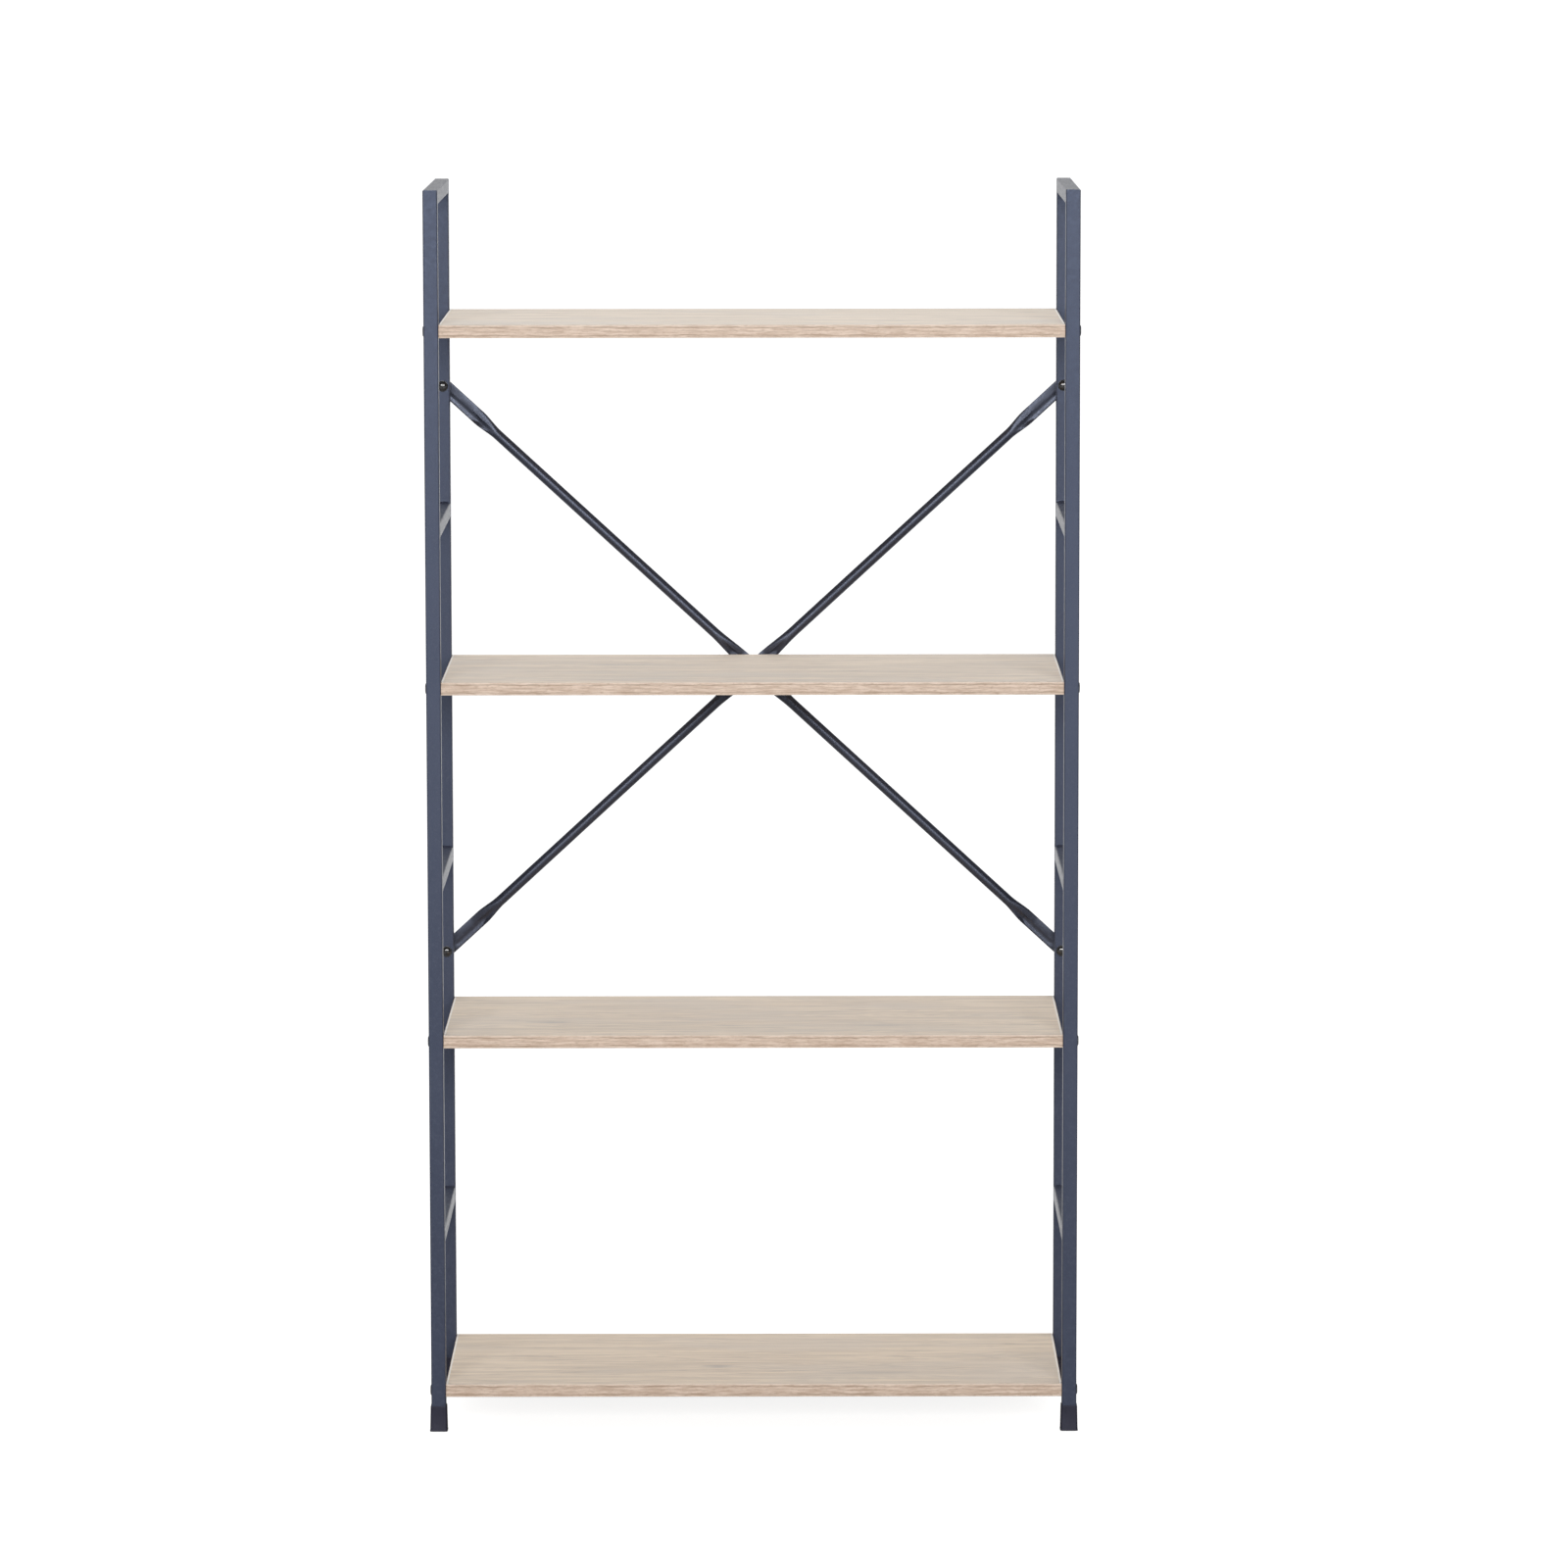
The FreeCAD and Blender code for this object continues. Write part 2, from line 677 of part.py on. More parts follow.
def make_rivet():
    """Rivet through both flattened middles: thin flat head in front, coned tail behind."""
    body = new_body("brace_middle_rivet")
    shank_radius = "Sizes.rivet_diameter / 2"
    head_radius = "Sizes.rivet_head_diameter / 2"
    tail_radius = "Sizes.rivet_tail_diameter / 2"
    grip = f"(2 * {FLAT_THICKNESS})"
    profile = new_sketch(body, "XZ_Plane")
    outline(profile, [
        ("0", "-Sizes.rivet_head_thickness"),
        (head_radius, "-Sizes.rivet_head_thickness"),
        (head_radius, "0"),
        (shank_radius, "0"),
        (shank_radius, grip),
        (tail_radius, grip),
        (shank_radius, f"{grip} + Sizes.rivet_tail_height"),
        ("0", f"{grip} + Sizes.rivet_tail_height"),
    ])
    revolve(body, profile)
    body.Placement.Rotation = FreeCAD.Rotation(FreeCAD.Vector(1, 0, 0), -90)
    place(body, "0", FRAME_BACK, CROSSING_HEIGHT)
    return body


# The whole unit

nodes = []
for side_name in SIDES:
    for end_name in ENDS:
        nodes.append(make_post(side_name, end_name))
        nodes.append(make_foot(side_name, end_name))
    nodes.append(make_top_bar(side_name))
    for level, bar_name in enumerate(("lower", "middle", "upper")):
        nodes.append(make_cross_bar(side_name, bar_name, level))

insert_template = make_insert_template()
shelf_bolt_template = make_shelf_bolt_template()
for level, name in enumerate(BOARD_NAMES):
    nodes.append(make_board(name, level))
    nodes.append(make_bands(name, level))
    nodes.append(make_board_fasteners(name, level, insert_template, "inserts", f"{BOARD_LENGTH} / 2"))
    nodes.append(make_board_fasteners(name, level, shelf_bolt_template, "bolts", "Sizes.overall_width / 2"))

nodes.append(make_brace("falling_brace", 1, 0))
nodes.append(make_brace("rising_brace", -1, 1))
brace_bolt_template = make_brace_bolt_template()
nut_template = make_nut_template()
post_front = f"{FRAME_BACK} - Sizes.tube_size"
nodes.append(make_brace_fasteners("brace_bolts", brace_bolt_template, -1, post_front))
nodes.append(make_brace_fasteners("brace_nuts", nut_template, 1, f"{FRAME_BACK} + {FLAT_THICKNESS}"))
nodes.append(make_rivet())

doc.recompute()

# Every object is sound before anything is written
failed = [thing.Name for thing in doc.Objects if {"Invalid", "Error"} & set(thing.State)]
if failed:
    raise RuntimeError(f"objects that did not compute: {failed}")
for node in nodes:
    if node.Shape.isNull() or not node.Shape.isValid():
        raise RuntimeError(f"{node.Label} has no valid shape")

os.makedirs("parts", exist_ok=True)
for node in nodes:
    node.Shape.exportStep(f"parts/{node.Label}.step")
print(f"{len(nodes)} nodes written")
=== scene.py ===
import json
import math
import random

import bmesh
import bpy
from mathutils import Matrix, Vector


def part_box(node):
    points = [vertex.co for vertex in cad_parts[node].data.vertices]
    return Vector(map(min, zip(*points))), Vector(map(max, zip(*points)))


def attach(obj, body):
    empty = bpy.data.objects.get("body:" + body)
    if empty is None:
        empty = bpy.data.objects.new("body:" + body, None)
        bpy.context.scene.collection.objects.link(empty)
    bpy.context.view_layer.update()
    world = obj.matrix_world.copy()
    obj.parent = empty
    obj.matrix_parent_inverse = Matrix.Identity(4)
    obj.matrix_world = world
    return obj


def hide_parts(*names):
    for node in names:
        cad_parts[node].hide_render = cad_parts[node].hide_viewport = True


# Looks of an open shelving unit: powder-coated tube frames, wood-look boards and a flattened-tube X-brace.
# Lengths are in metres, the front is -Y and up is +Z.

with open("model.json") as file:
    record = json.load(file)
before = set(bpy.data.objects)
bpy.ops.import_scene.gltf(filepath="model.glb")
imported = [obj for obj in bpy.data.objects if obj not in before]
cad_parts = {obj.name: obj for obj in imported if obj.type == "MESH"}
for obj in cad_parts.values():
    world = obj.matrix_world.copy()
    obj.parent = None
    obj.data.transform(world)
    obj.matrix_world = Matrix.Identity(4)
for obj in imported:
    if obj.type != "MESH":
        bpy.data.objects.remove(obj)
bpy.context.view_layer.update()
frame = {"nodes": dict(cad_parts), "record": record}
nodes = frame["nodes"]
scene = bpy.context.scene

MM = 0.001
SIDES = {"left": -1, "right": 1}
ENDS = {"front": -1, "rear": 1}
BOARD_NAMES = ("bottom", "third", "second", "top")
CROSS_BARS = ("lower", "middle", "upper")


# Node trees

class Tree:
    """Adds linked nodes to a material or world."""

    def __init__(self, owner):
        owner.use_nodes = True
        self.tree = owner.node_tree
        self.tree.nodes.clear()

    def add(self, kind, inputs=None, **settings):
        node = self.tree.nodes.new(kind)
        for key, value in settings.items():
            setattr(node, key, value)
        for socket, value in (inputs or {}).items():
            self.feed(node.inputs[socket], value)
        return node

    def feed(self, socket, value):
        if isinstance(value, bpy.types.NodeSocket):
            self.tree.links.new(value, socket)
        else:
            socket.default_value = value

    def place(self):
        """Position in the object's frame, in metres."""
        return self.add("ShaderNodeTexCoord").outputs["Object"]

    def axes(self, vector):
        return self.add("ShaderNodeSeparateXYZ", {0: vector}).outputs

    def join(self, x, y, z):
        return self.add("ShaderNodeCombineXYZ", {0: x, 1: y, 2: z}).outputs[0]

    def math(self, operation, first, second=0.0):
        return self.add("ShaderNodeMath", {0: first, 1: second}, operation=operation).outputs[0]

    def plus(self, first, second, share):
        """First value plus a share of the second."""
        inputs = {0: second, 1: share, 2: first}
        return self.add("ShaderNodeMath", inputs, operation="MULTIPLY_ADD").outputs[0]

    def vector(self, operation, first, second=(0, 0, 0)):
        node = self.add("ShaderNodeVectorMath", {0: first, 1: second}, operation=operation)
        return node.outputs["Value" if operation in ("LENGTH", "DOT_PRODUCT") else "Vector"]

    def noise(self, vector, scales, detail=2.0, roughness=0.5):
        """Noise with its own scale along each axis, in features per metre."""
        stretched = self.vector("MULTIPLY", vector, scales)
        inputs = {"Vector": stretched, "Scale": 1.0, "Detail": detail, "Roughness": roughness}
        return self.add("ShaderNodeTexNoise", inputs).outputs["Fac"]

    def span(self, value, low, high, to_low=0.0, to_high=1.0):
        """Smooth step from one range to another."""
        inputs = {0: value, 1: low, 2: high, 3: to_low, 4: to_high}
        return self.add("ShaderNodeMapRange", inputs, interpolation_type="SMOOTHSTEP").outputs[0]

    def mix(self, factor, first, second):
        node = self.add("ShaderNodeMix", data_type="RGBA", clamp_factor=True)
        for index, value in ((0, factor), (6, first), (7, second)):
            self.feed(node.inputs[index], value)
        return node.outputs[2]

    def bump(self, height, strength, distance):
        inputs = {"Height": height, "Strength": strength, "Distance": distance}
        return self.add("ShaderNodeBump", inputs).outputs[0]

    def edges(self, radius, low, high):
        """Mask of edges: where a rounded normal leaves the true one; low and high are cosines."""
        rounded = self.add("ShaderNodeBevel", {"Radius": radius}, samples=4).outputs[0]
        true = self.add("ShaderNodeNewGeometry").outputs["Normal"]
        return self.span(self.vector("DOT_PRODUCT", rounded, true), high, low)

    def seen(self, mirrored):
        """Rays that show a backdrop: from the camera, through glass or, to a given share, off gloss."""
        path = self.add("ShaderNodeLightPath").outputs
        direct = self.math("MAXIMUM", path["Is Camera Ray"], path["Is Transmission Ray"])
        return self.math("MAXIMUM", direct, self.math("MULTIPLY", path["Is Glossy Ray"], mirrored))

    def principled(self, **inputs):
        """Main shader and the material's output; names use _ for a space."""
        sockets = {name.replace("_", " "): value for name, value in inputs.items()}
        shader = self.add("ShaderNodeBsdfPrincipled", sockets)
        self.add("ShaderNodeOutputMaterial", {"Surface": shader.outputs[0]})


def rgb(red, green, blue):
    return (red, green, blue, 1.0)


def new_material(name):
    material = bpy.data.materials.new(name)
    return material, Tree(material)


# Powder coat of the frames and the brace

# Lighter tone on the coat's edges: slight wear together with a painted edge highlight
EDGE_WEAR_AND_HIGHLIGHT = rgb(0.14, 0.15, 0.19)
PAINT_EDGE = 1.1 * MM
PAINT_RELIEF = 0.08 * MM
PAINT_IOR = 1.5
COAT_ROUGHNESS = 0.2


def make_paint(name, dark, light, grain, rough_span, gloss, tint, coat):
    """Cloudy tone with fine grit, an orange-peel relief and lighter edges: slight wear and a painted edge
    highlight.
    """
    material, tree = new_material(name)
    place = tree.place()
    broad = tree.noise(place, (9, 9, 5), detail=3)
    grit = tree.noise(place, (900, 900, 900), detail=3, roughness=0.6)
    peel = tree.noise(place, (420, 420, 420))
    mottle = tree.noise(place, (260, 260, 260), detail=3, roughness=0.6)
    scuff = tree.noise(place, (140, 140, 140), detail=4)
    # Edges are lightened for wear and as a painted highlight where rounded edges catch the light
    edges = tree.edges(PAINT_EDGE, 0.90, 0.995)
    lighter_edges = tree.math("MULTIPLY", edges, tree.span(scuff, 0.35, 0.75, 0.0, 0.35))
    tone = tree.mix(tree.span(broad, 0.3, 0.7), dark, light)
    tone = tree.mix(tree.span(grit, 0.35, 0.75, 0.0, 0.5), tone, grain)
    tone = tree.mix(tree.span(mottle, 0.48, 0.72, 0.0, 0.7), tone, grain)
    tone = tree.mix(lighter_edges, tone, EDGE_WEAR_AND_HIGHLIGHT)
    rough = tree.span(tree.plus(mottle, grit, 0.3), 0.45, 0.85, *rough_span)
    relief = tree.plus(peel, grit, 0.4)
    tree.principled(Base_Color=tone, Roughness=rough, IOR=PAINT_IOR, Specular_IOR_Level=gloss,
                    Specular_Tint=tint, Coat_Weight=coat, Coat_Roughness=COAT_ROUGHNESS,
                    Normal=tree.bump(relief, 0.2, PAINT_RELIEF))
    return material


# Wood-look boards

# Knots and smudges on the boards' faces: x, y, board, half length, half width, strength
KNOTS = (
    (-0.252, -0.054, "third", 0.042, 0.011, 0.75),
    (-0.045, -0.050, "bottom", 0.040, 0.014, 0.75),
    (0.160, -0.080, "third", 0.055, 0.016, 0.35),
    (-0.030, -0.080, "third", 0.030, 0.010, 0.35),
    (0.150, -0.088, "bottom", 0.075, 0.020, 0.40),
    (-0.160, 0.042, "second", 0.090, 0.014, 0.40),
)
KNOT_DEPTH = 6 * MM
# Painted highlight: a pale line on the face beside the end bands, where their arrises catch the light
END_HIGHLIGHT_WIDTH = 2.0 * MM
END_HIGHLIGHT_TONE = rgb(0.92, 0.88, 0.82)

OAK_DARK, OAK_LIGHT = rgb(0.625, 0.468, 0.305), rgb(0.80, 0.624, 0.428)
OAK_GREYED = rgb(0.57, 0.465, 0.36)
FLECK_TONE = rgb(0.41, 0.290, 0.180)
RING_TONE = rgb(0.48, 0.355, 0.235)
FINE_TONE = rgb(0.48, 0.36, 0.245)
PORE_TONE = rgb(0.33, 0.24, 0.17)
KNOT_TONE = rgb(0.27, 0.215, 0.175)
# Year rings: phase across the grain in radians per metre, and how far the slow noise bends them in radians
RING_PITCH, RING_BEND = 760.0, 230.0
BOARD_RELIEF = 0.06 * MM
# Pale bloom that matt melamine shows at a flat angle
BLOOM, BLOOM_SPREAD = 0.385, 0.5


def knot_mask(tree, place):
    """Dark smudges along the grain with ragged outlines."""
    ragged = tree.math("MULTIPLY", tree.noise(place, (30, 160, 30), detail=4), 0.9)
    knots = None
    for x, y, board, half_length, half_width, strength in KNOTS:
        offset = tree.vector("SUBTRACT", place, (x, y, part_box(f"{board}_board")[1].z))
        ratio = tree.vector("MULTIPLY", offset, (1 / half_length, 1 / half_width, 1 / KNOT_DEPTH))
        reach = tree.math("ADD", tree.vector("LENGTH", ratio), ragged)
        mask = tree.span(reach, 0.45, 1.35, strength, 0.0)
        knots = mask if knots is None else tree.math("MAXIMUM", knots, mask)
    return knots


def make_melamine():
    """Greyish oak print: streaks and rings along X with flecks, pores and a few knots."""
    material, tree = new_material("greyed_oak_melamine")
    place = tree.place()
    x, y, _ = tree.axes(place)
    slow = tree.noise(place, (1.8, 8.0, 9.0))
    streaks = tree.noise(place, (4.5, 70, 40), detail=5, roughness=0.66)
    flecks = tree.noise(place, (19, 150, 60), detail=3, roughness=0.6)
    fine = tree.noise(place, (14, 900, 60), detail=3, roughness=0.65)
    pores = tree.span(tree.noise(place, (48, 2300, 70)), 0.60, 0.74)
    patches = tree.noise(place, (4.0, 11.0, 7.0), detail=3)
    phase = tree.plus(tree.math("MULTIPLY", y, RING_PITCH), slow, RING_BEND)
    ring_share = tree.span(patches, 0.35, 0.6, 0.10, 0.36)
    rings = tree.math("MULTIPLY", tree.span(tree.math("SINE", phase), -0.4, 1.0), ring_share)
    tone = tree.mix(tree.span(streaks, 0.39, 0.61), OAK_DARK, OAK_LIGHT)
    tone = tree.mix(tree.span(flecks, 0.53, 0.72, 0.0, 0.75), tone, FLECK_TONE)
    tone = tree.mix(rings, tone, RING_TONE)
    tone = tree.mix(tree.span(fine, 0.45, 0.80, 0.0, 0.42), tone, FINE_TONE)
    tone = tree.mix(tree.span(patches, 0.46, 0.70, 0.0, 0.50), tone, OAK_GREYED)
    tone = tree.mix(tree.math("MULTIPLY", pores, 0.45), tone, PORE_TONE)
    tone = tree.mix(knot_mask(tree, place), tone, KNOT_TONE)
    # Painted highlight along both ends of each board's face
    board_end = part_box("top_board")[1].x
    highlight_start, highlight_full = board_end - END_HIGHLIGHT_WIDTH, board_end - 0.7 * END_HIGHLIGHT_WIDTH
    end_highlight = tree.span(tree.math("ABSOLUTE", x), highlight_start, highlight_full, 0.0, 0.9)
    tone = tree.mix(end_highlight, tone, END_HIGHLIGHT_TONE)
    rough = tree.span(tree.plus(streaks, pores, 0.4), 0.3, 1.0, 0.60, 0.74)
    relief = tree.plus(tree.math("MULTIPLY", fine, 0.4), pores, -0.8)
    tree.principled(Base_Color=tone, Roughness=rough, Specular_IOR_Level=0.35, Sheen_Weight=BLOOM,
                    Sheen_Roughness=BLOOM_SPREAD, Normal=tree.bump(relief, 0.15, BOARD_RELIEF))
    return material


# Dark grain lines of the edge bands: height as a share of the board's thickness, drift and strength
BAND_LINES = ((0.80, 0.22, 0.75), (0.20, 0.24, 0.60), (0.52, 0.34, 0.22))
LINE_SHAKE = 0.16
LINE_TONE = rgb(0.30, 0.205, 0.14)
BAND_DARK, BAND_LIGHT = rgb(0.56, 0.415, 0.315), rgb(0.76, 0.61, 0.50)
SPECK_TONE = rgb(0.41, 0.28, 0.19)
# Painted highlight along the bands' top and bottom arrises
RIM_HIGHLIGHT_TONE = rgb(0.84, 0.73, 0.62)
BAND_RELIEF = 0.05 * MM
# Heights on the bands are counted from just below the boards' undersides, so that they never wrap round
BAND_SLACK = 0.05 * MM


def make_edge_band():
    """Warm oak print with wandering dark lines along the band and a painted highlight on its rims."""
    material, tree = new_material("oak_edge_band")
    x, y, z = tree.axes(tree.place())
    low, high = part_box("bottom_board")
    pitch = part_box("third_board")[0].z - low.z
    rise = tree.math("SUBTRACT", z, low.z - BAND_SLACK)
    level = tree.math("FRACT", tree.math("DIVIDE", rise, pitch))
    height = tree.math("MULTIPLY", level, pitch / (high.z - low.z))
    strip = tree.join(tree.math("ADD", x, y), z, 0.0)
    wander = tree.noise(strip, (9, 3, 1), detail=4, roughness=0.6)
    shake = tree.noise(strip, (60, 60, 1))
    streaks = tree.noise(strip, (34, 380, 1), detail=4, roughness=0.65)
    specks = tree.noise(strip, (130, 560, 1), detail=4, roughness=0.65)
    breaks = tree.noise(strip, (28, 5, 1), detail=3)
    tone = tree.mix(tree.span(streaks, 0.36, 0.64), BAND_DARK, BAND_LIGHT)
    tone = tree.mix(tree.span(specks, 0.50, 0.70, 0.0, 0.65), tone, SPECK_TONE)
    for middle, drift, strength in BAND_LINES:
        line = tree.plus(tree.math("MULTIPLY", wander, drift), shake, LINE_SHAKE)
        centred = tree.math("ADD", line, middle - 0.5 * drift - 0.5 * LINE_SHAKE)
        gap = tree.math("SUBTRACT", height, centred)
        near = tree.span(tree.math("ABSOLUTE", gap), 0.015, 0.070, 1.0, 0.0)
        broken = tree.span(breaks, 0.36, 0.60, 0.35 * strength, strength)
        tone = tree.mix(tree.math("MULTIPLY", near, broken), tone, LINE_TONE)
    # Paler rims: a painted highlight along the arrises
    rim = tree.math("ABSOLUTE", tree.math("SUBTRACT", height, 0.5))
    tone = tree.mix(tree.span(rim, 0.425, 0.475, 0.0, 0.6), tone, RIM_HIGHLIGHT_TONE)
    rough = tree.span(streaks, 0.3, 0.7, 0.42, 0.55)
    tree.principled(Base_Color=tone, Roughness=rough, Specular_IOR_Level=0.45,
                    Normal=tree.bump(specks, 0.12, BAND_RELIEF))
    return material


# Plastic and metal small parts

PLASTIC_DARK, PLASTIC_LIGHT = rgb(0.012, 0.012, 0.022), rgb(0.019, 0.019, 0.033)
# Paler tone for the feet's edges: a painted edge highlight
PLASTIC_EDGE_HIGHLIGHT = rgb(0.07, 0.07, 0.09)
PLASTIC_TINT = rgb(0.8, 0.8, 1.0)
PLASTIC_EDGE, PLASTIC_RELIEF = 0.8 * MM, 0.06 * MM
BLACK_DARK, BLACK_LIGHT = rgb(0.008, 0.008, 0.010), rgb(0.016, 0.016, 0.018)
BLACK_WORN = rgb(0.05, 0.05, 0.05)
BLACK_EDGE = 0.5 * MM
ZINC_DARK, ZINC_LIGHT = rgb(0.50, 0.50, 0.48), rgb(0.64, 0.62, 0.57)
PLATING_RELIEF = 0.03 * MM


def make_plastic():
    """Near-black plastic with a fine moulded grain."""
    material, tree = new_material("moulded_foot_plastic")
    place = tree.place()
    grain = tree.noise(place, (1100, 1100, 1100), detail=3, roughness=0.6)
    broad = tree.noise(place, (60, 60, 40), detail=3)
    tone = tree.mix(tree.span(broad, 0.3, 0.7), PLASTIC_DARK, PLASTIC_LIGHT)
    # All edges lightened as a painted highlight
    lighter_edges = tree.math("MULTIPLY", tree.edges(PLASTIC_EDGE, 0.90, 0.995), 0.35)
    tone = tree.mix(lighter_edges, tone, PLASTIC_EDGE_HIGHLIGHT)
    rough = tree.span(grain, 0.3, 0.7, 0.42, 0.58)
    tree.principled(Base_Color=tone, Roughness=rough, Specular_IOR_Level=0.4, Specular_Tint=PLASTIC_TINT,
                    Normal=tree.bump(grain, 0.3, PLASTIC_RELIEF))
    return material


def make_black_steel():
    """Glossy black plating with slightly worn edges."""
    material, tree = new_material("black_plated_steel")
    cloud = tree.noise(tree.place(), (350, 350, 350), detail=4)
    edges = tree.edges(BLACK_EDGE, 0.88, 0.99)
    lighter_edges = tree.math("MULTIPLY", edges, tree.span(cloud, 0.45, 0.7, 0.0, 0.5))
    tone = tree.mix(tree.span(cloud, 0.3, 0.7), BLACK_DARK, BLACK_LIGHT)
    tone = tree.mix(lighter_edges, tone, BLACK_WORN)
    rough = tree.span(cloud, 0.3, 0.7, 0.10, 0.18)
    tree.principled(Base_Color=tone, Roughness=rough, Specular_IOR_Level=1.0,
                    Normal=tree.bump(cloud, 0.08, PLATING_RELIEF))
    return material


def make_zinc():
    """Zinc plating of the inserts in the boards' ends."""
    material, tree = new_material("zinc_plated_steel")
    cloud = tree.noise(tree.place(), (500, 500, 500), detail=3)
    tone = tree.mix(tree.span(cloud, 0.3, 0.7), ZINC_DARK, ZINC_LIGHT)
    rough = tree.span(cloud, 0.3, 0.7, 0.28, 0.42)
    tree.principled(Base_Color=tone, Metallic=1.0, Roughness=rough,
                    Normal=tree.bump(cloud, 0.1, PLATING_RELIEF))
    return material


paint = make_paint(
    "slate_powder_coat", rgb(0.026, 0.030, 0.052), rgb(0.034, 0.039, 0.064), rgb(0.048, 0.053, 0.080),
    rough_span=(0.36, 0.54), gloss=0.68, tint=rgb(0.58, 0.70, 1.0), coat=0.23)
# The brace is smoother than the frames, and its copy of their coat is darkened as painted shade
shaded_brace_paint = make_paint(
    "brace_shaded_powder_coat", rgb(0.015, 0.016, 0.024), rgb(0.020, 0.021, 0.031), rgb(0.030, 0.031, 0.044),
    rough_span=(0.34, 0.44), gloss=0.86, tint=rgb(0.68, 0.76, 1.0), coat=0.0)
SLOT_MATERIALS = {
    "frame_paint": paint, "board_melamine": make_melamine(), "edge_band": make_edge_band(),
    "foot_plastic": make_plastic(), "bolt_black": make_black_steel(), "insert_steel": make_zinc(),
}

# CAD nodes keep their shape and take the finish of their slot
for part in frame["record"]["subparts"]:
    for slot in nodes[part["node"]].material_slots:
        slot.material = SLOT_MATERIALS[part["material_slot"]]


# Mesh building

SHARP_ANGLE = math.radians(38)


def smoothstep(value, low, high):
    share = min(max((value - low) / (high - low), 0.0), 1.0)
    return share * share * (3 - 2 * share)


def blend(first, second, share):
    return first + (second - first) * share


def skin(build, rings, closed=False):
    """Quads between rings of points; both ends are capped unless the last ring joins the first."""
    loops = [[build.verts.new(point) for point in ring] for ring in rings]
    if closed:
        loops.append(loops[0])
    else:
        build.faces.new(loops[0])
        build.faces.new(loops[-1])
    for first, second in zip(loops, loops[1:]):
        for i in range(len(first)):
            build.faces.new((first[i - 1], first[i], second[i], second[i - 1]))


def add_piece(name, build, slot, replaced=(), material=None):
    """Object from a finished mesh build, riding on the frame."""
    bmesh.ops.recalc_face_normals(build, faces=build.faces)
    for face in build.faces:
        face.smooth = True
    mesh = bpy.data.meshes.new(name)
    build.to_mesh(mesh)
    build.free()
    mesh.set_sharp_from_angle(angle=SHARP_ANGLE)
    mesh.materials.append(material or SLOT_MATERIALS[slot])
    piece = bpy.data.objects.new(name, mesh)
    scene.collection.objects.link(piece)
    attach(piece, "root")
    if replaced:
        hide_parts(*replaced)


def rounded_rectangle(half_x, half_y, radius, centre, steps=5):
    """Points of a rounded rectangle about a centre, at the centre's height."""
    points = []
    for quarter, (sx, sy) in enumerate(((1, 1), (-1, 1), (-1, -1), (1, -1))):
        for step in range(steps + 1):
            angle = (quarter + step / steps) * math.pi / 2
            points.append(centre + Vector((sx * (half_x - radius) + radius * math.cos(angle),
                                           sy * (half_y - radius) + radius * math.sin(angle), 0)))
    return points


# Turned pieces

TURN_POINTS = 48


def turned(profile, place):
    """Rings about the place's Z from rows in millimetres: radius, height and, for a hexagon, its flats."""
    rings = []
    for radius, height, *flats in profile:
        ring = []
        for i in range(TURN_POINTS):
            angle = 2 * math.pi * i / TURN_POINTS
            reach = radius
            if flats:
                off_flat = (angle + math.pi / 6) % (math.pi / 3) - math.pi / 6
                reach = min(radius, flats[0] / 2 / math.cos(off_flat))
            point = Vector((reach * math.cos(angle), reach * math.sin(angle), height))
            ring.append(place @ (point * MM))
        rings.append(ring)
    return rings


def facing(point, direction):
    """Place at a point with its Z along a direction."""
    return Matrix.Translation(point) @ Vector(direction).to_track_quat("Z", "Y").to_matrix().to_4x4()


def add_turned(name, profile, places, slot, replaced, closed=False):
    build = bmesh.new()
    for place in places:
        skin(build, turned(profile, place), closed)
    add_piece(name, build, slot, replaced)


# Faces and centre lines of the frames

post_low, post_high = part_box("right_rear_post")
POST_X = (post_low.x + post_high.x) / 2
POST_Y = (post_low.y + post_high.y) / 2
POST_OUTER_X = post_high.x
POST_INNER_Y, POST_BACK = post_low.y, post_high.y
TUBE_HALF = (post_high.x - post_low.x) / 2


# Edge bands with rounded arrises

BAND_THICKNESS = 0.8 * MM
BAND_RADIUS = 0.7 * MM
BAND_CORNER = 1.0 * MM
BAND_INNER_CORNER = 0.15 * MM
ARRIS_STEPS = 4


def add_bands(name):
    """One frame of bands round a board, centred on the Z axis like the board itself."""
    low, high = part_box(f"{name}_edge_bands")
    profile = [(BAND_THICKNESS, low.z)]
    for step in range(ARRIS_STEPS + 1):
        angle = step / ARRIS_STEPS * math.pi / 2
        inset, rise = BAND_RADIUS * (1 - math.sin(angle)), BAND_RADIUS * (1 - math.cos(angle))
        profile.append((inset, low.z + rise))
    profile += [(inset, low.z + high.z - z) for inset, z in profile[::-1]]
    rings = []
    for inset, z in profile:
        corner = max(BAND_CORNER - inset, BAND_INNER_CORNER)
        rings.append(rounded_rectangle(high.x - inset, high.y - inset, corner, Vector((0, 0, z))))
    build = bmesh.new()
    skin(build, rings, closed=True)
    add_piece(f"{name}_rounded_bands", build, "edge_band", [f"{name}_edge_bands"])


for name in BOARD_NAMES:
    add_bands(name)


# Feet: sleeves with a sole rim, a tapered body and a rounded lip

FOOT_CORNER = 2.5 * MM
CORNER_PER_INSET = 0.45
# Half widths and heights in millimetres; the profile runs from the sole up and down again inside the sleeve
FOOT_WIDEST = 11.0
FOOT_PROFILE = (
    (10.25, 0.0), (10.7, 0.2), (FOOT_WIDEST, 0.6), (FOOT_WIDEST, 1.1), (10.88, 1.3), (10.68, 1.45),
    (10.62, 1.7), (10.0, 30.2), (9.98, 31.0), (9.9, 31.5), (9.72, 31.85), (9.45, 32.0), (9.2, 31.9),
    (9.12, 31.6), (9.1, 4.0),
)


